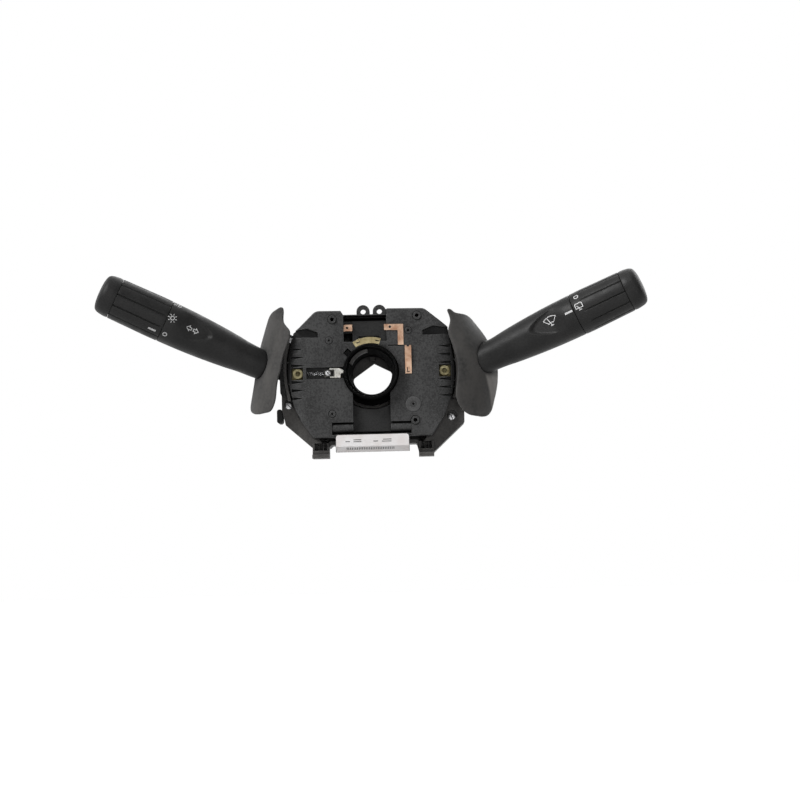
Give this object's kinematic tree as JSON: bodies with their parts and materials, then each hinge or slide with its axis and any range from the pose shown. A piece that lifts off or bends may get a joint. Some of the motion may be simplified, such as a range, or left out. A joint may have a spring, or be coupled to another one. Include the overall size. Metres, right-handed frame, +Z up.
{
  "type": "combination stalk switch",
  "caption": "Steering column switch with indicator and wiper levers, rotary light and rear-wiper rings, self-cancelling hub, horn contacts and a split column collar.",
  "frame": {"origin": "on the steering axis, at the rear end of the column collar", "axes": "+Z up, +X towards the driver's right hand, +Y forward along the column, away from the driver"},
  "size_m": [0.3668, 0.0746, 0.1237],
  "materials": {
    "black_moulding": "fine-grained black nylon moulding",
    "base_moulding": "grained dark grey moulding",
    "lever_grip": "satin black moulding",
    "shield_skin": "soft dull dark grey moulding",
    "hub_moulding": "smooth black moulding",
    "acetal": "off-white acetal",
    "copper_strip": "bare copper strip",
    "brass_strip": "bare brass strip",
    "brass_screw": "dull passivated brass",
    "bright_steel": "zinc-plated steel",
    "sintered_bronze": "oil-filled bronze",
    "buffer_rubber": "ribbed rubber",
    "label_sheet": "plain white film",
    "board": "solder-masked board"
  },
  "bodies": {
    "housing": {"base_housing": "base_moulding", "side_buffer": "buffer_rubber", "clamp_screw": "bright_steel", "clamp_nut": "bright_steel", "base_screws": "bright_steel", "retaining_clips": "bright_steel", "front_carrier": "black_moulding", "side_screws": "brass_screw", "label": "label_sheet", "pocket_plate": "black_moulding", "horn_terminal": "copper_strip", "horn_track": "copper_strip", "horn_leaf": "copper_strip", "hub_bearing_ring": "sintered_bronze", "pawl_screw": "bright_steel", "pawl_spring": "bright_steel", "left_module_case": "base_moulding", "left_module_cover": "black_moulding", "left_pivot_pin": "bright_steel", "left_circuit_board": "board", "left_detent_track": "acetal", "left_connector": "black_moulding", "left_terminals": "brass_strip", "right_module_case": "base_moulding", "right_module_cover": "black_moulding", "right_pivot_pin": "bright_steel", "right_circuit_board": "board", "right_detent_track": "acetal", "right_connector": "black_moulding", "right_terminals": "brass_strip"},
    "left_gimbal": {"left_gimbal": "acetal", "left_tilt_pin": "bright_steel", "left_detent_plunger": "acetal", "left_detent_spring": "bright_steel"},
    "left_lever": {"left_lever_tube": "lever_grip", "left_shield": "shield_skin"},
    "left_knob": {"left_knob": "lever_grip", "left_end_cap": "lever_grip", "left_knob_shaft": "acetal"},
    "right_gimbal": {"right_gimbal": "acetal", "right_tilt_pin": "bright_steel", "right_detent_plunger": "acetal", "right_detent_spring": "bright_steel"},
    "right_lever": {"right_lever_tube": "lever_grip", "right_shield": "shield_skin"},
    "right_knob": {"right_knob": "lever_grip", "right_end_cap": "lever_grip", "right_knob_shaft": "acetal"},
    "hub": {"hub_rotor": "hub_moulding", "cancel_cam": "hub_moulding"},
    "cancel_pawl": {"cancel_pawl": "acetal"},
    "horn_brush": {"horn_brush": "brass_strip"}
  },
  "joints": [
    {"name": "left_indicator_swing", "type": "hinge", "parent": "housing", "child": "left_gimbal", "pos_m": [-0.042, -0.028, -0.0074], "axis": [0, 1, 0], "range_deg": [-8, 8]},
    {"name": "left_beam_pull", "type": "hinge", "parent": "left_gimbal", "child": "left_lever", "pos_m": [-0.04949, -0.02991, -0.00386], "axis": [0.4274, 0, 0.9041], "range_deg": [0, 7], "stiffness_Nm_per_rad": 0.6, "springref_deg": -8.59},
    {"name": "left_light_ring", "type": "hinge", "parent": "left_lever", "child": "left_knob", "pos_m": [-0.042, -0.028, -0.0074], "axis": [-0.8809, -0.225, 0.4164], "range_deg": [0, 60]},
    {"name": "right_wiper_swing", "type": "hinge", "parent": "housing", "child": "right_gimbal", "pos_m": [0.042, -0.028, -0.0065], "axis": [0, 1, 0], "range_deg": [-6, 15]},
    {"name": "right_washer_pull", "type": "hinge", "parent": "right_gimbal", "child": "right_lever", "pos_m": [0.04962, -0.02991, -0.00325], "axis": [0.3923, 0, -0.9198], "range_deg": [0, 7], "stiffness_Nm_per_rad": 0.6, "springref_deg": -8.59},
    {"name": "right_rear_wiper_ring", "type": "hinge", "parent": "right_lever", "child": "right_knob", "pos_m": [0.042, -0.028, -0.0065], "axis": [0.8962, -0.225, 0.3823], "range_deg": [-30, 0]},
    {"name": "hub_turn", "type": "hinge", "parent": "housing", "child": "hub", "pos_m": [0, 0, 0], "axis": [0, -1, 0], "continuous": true},
    {"name": "pawl_slide", "type": "slide", "parent": "housing", "child": "cancel_pawl", "axis": [-1, 0, 0], "range_m": [0, 0.002], "stiffness_N_per_m": 300, "springref_m": -0.002, "deforming": ["pawl_spring"]},
    {"name": "horn_brush_press", "type": "slide", "parent": "housing", "child": "horn_brush", "axis": [0, 1, 0], "range_m": [0, 0.0012], "stiffness_N_per_m": 400, "springref_m": -0.002}
  ]
}
